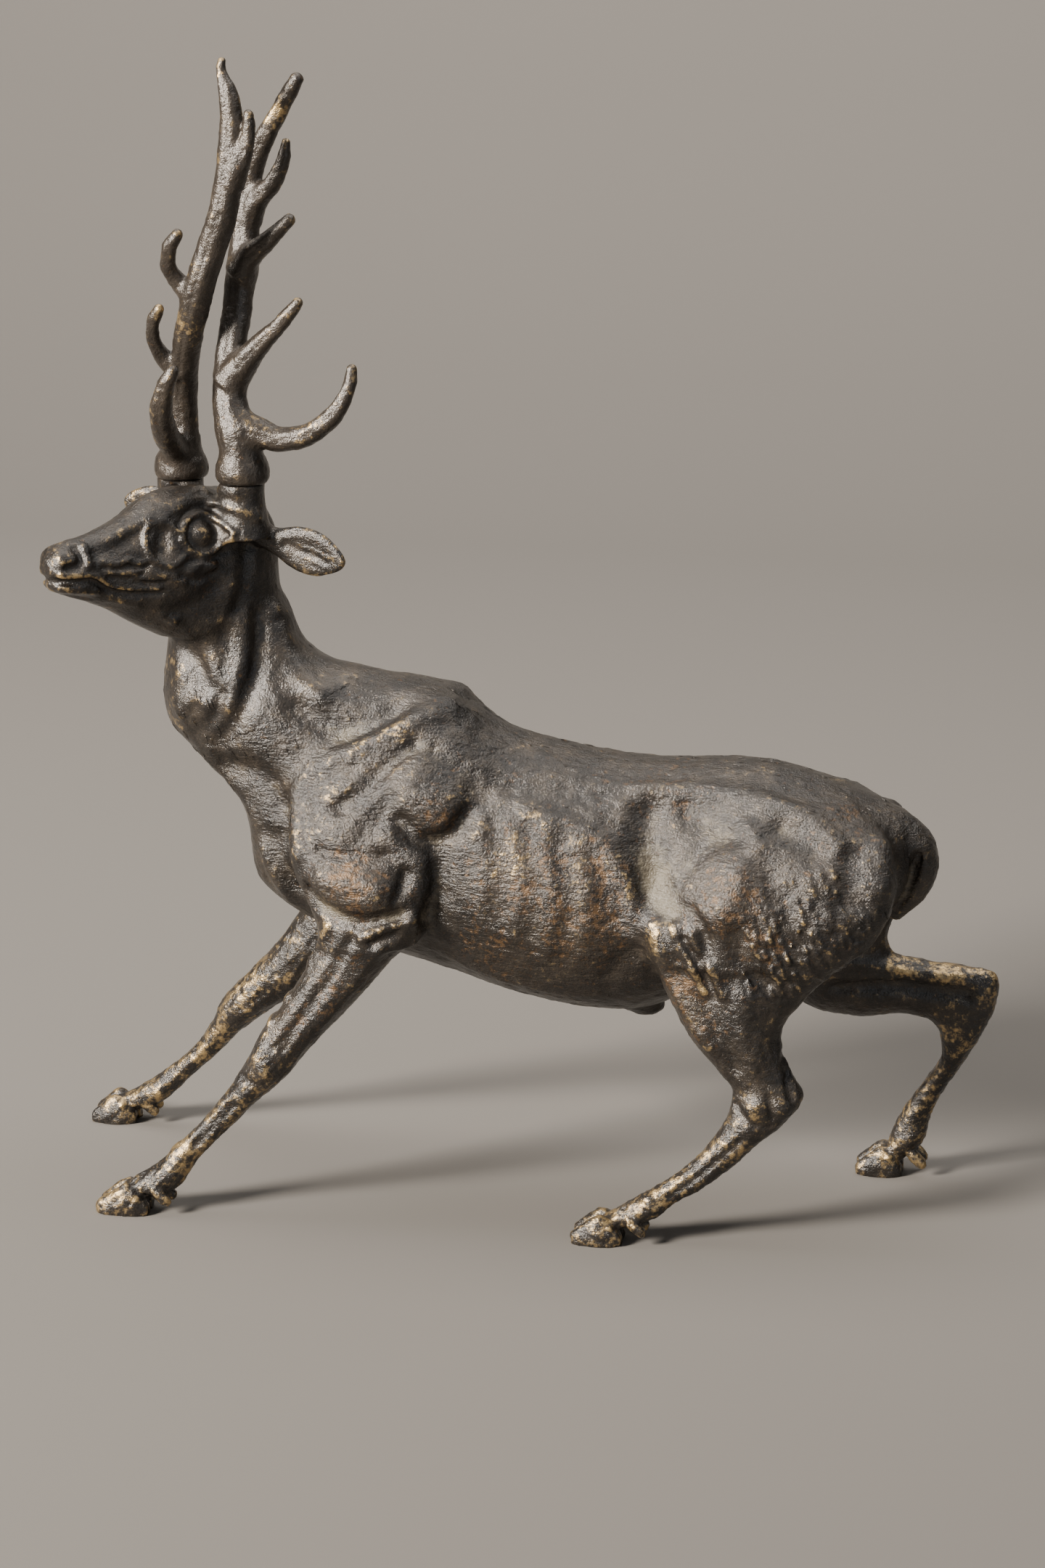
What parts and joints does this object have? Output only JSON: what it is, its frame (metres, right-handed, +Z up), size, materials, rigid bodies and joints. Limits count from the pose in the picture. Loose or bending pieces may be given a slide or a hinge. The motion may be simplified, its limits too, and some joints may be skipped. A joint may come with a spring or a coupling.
{
  "type": "bronze stag statuette",
  "caption": "Small cast bronze stag standing on four hooves, head raised and turned, with antlers that turn on their pegs and lift off.",
  "frame": {"origin": "centre of the outline at the level of the hoof soles", "axes": "+Z up; the stag faces -X, its left side towards -Y"},
  "size_m": [0.1326, 0.0424, 0.1578],
  "materials": {
    "bronze": "dark brown-black patina, polished by handling",
    "rubbed_bronze": "dark patina rubbed through to golden bronze",
    "antler_bronze": "brown patina with rubbed golden patches",
    "steel": "plain turned pin"
  },
  "bodies": {
    "stag": {"torso": "bronze", "neck_and_head": "bronze", "foreleg_left": "rubbed_bronze", "foreleg_right": "rubbed_bronze", "hindleg_left": "bronze", "hindleg_right": "rubbed_bronze", "tail": "bronze", "ear_left": "bronze", "ear_right": "bronze", "neck_dowel": "steel", "foreleg_dowel_left": "steel", "foreleg_dowel_right": "steel", "hindleg_dowel_left": "steel", "hindleg_dowel_right": "steel", "tail_pin": "steel", "ear_pin_left": "steel", "ear_pin_right": "steel"},
    "antler_peg_left": {"antler_peg_left": "steel"},
    "antler_left": {"antler_left": "antler_bronze"},
    "antler_peg_right": {"antler_peg_right": "steel"},
    "antler_right": {"antler_right": "antler_bronze"}
  },
  "joints": [
    {"name": "antler_left_swivel", "type": "hinge", "parent": "stag", "child": "antler_peg_left", "pos_m": [-0.03656, -0.00474, 0.1017], "axis": [0, 0, 1], "range_deg": [-120, 5]},
    {"name": "antler_left_lift", "type": "slide", "parent": "antler_peg_left", "child": "antler_left", "axis": [0, 0, 1], "range_m": [0, 0.007]},
    {"name": "antler_right_swivel", "type": "hinge", "parent": "stag", "child": "antler_peg_right", "pos_m": [-0.04681, 0.00197, 0.1007], "axis": [0, 0, 1], "range_deg": [-60, 5]},
    {"name": "antler_right_lift", "type": "slide", "parent": "antler_peg_right", "child": "antler_right", "axis": [0, 0, 1], "range_m": [0, 0.007]}
  ]
}
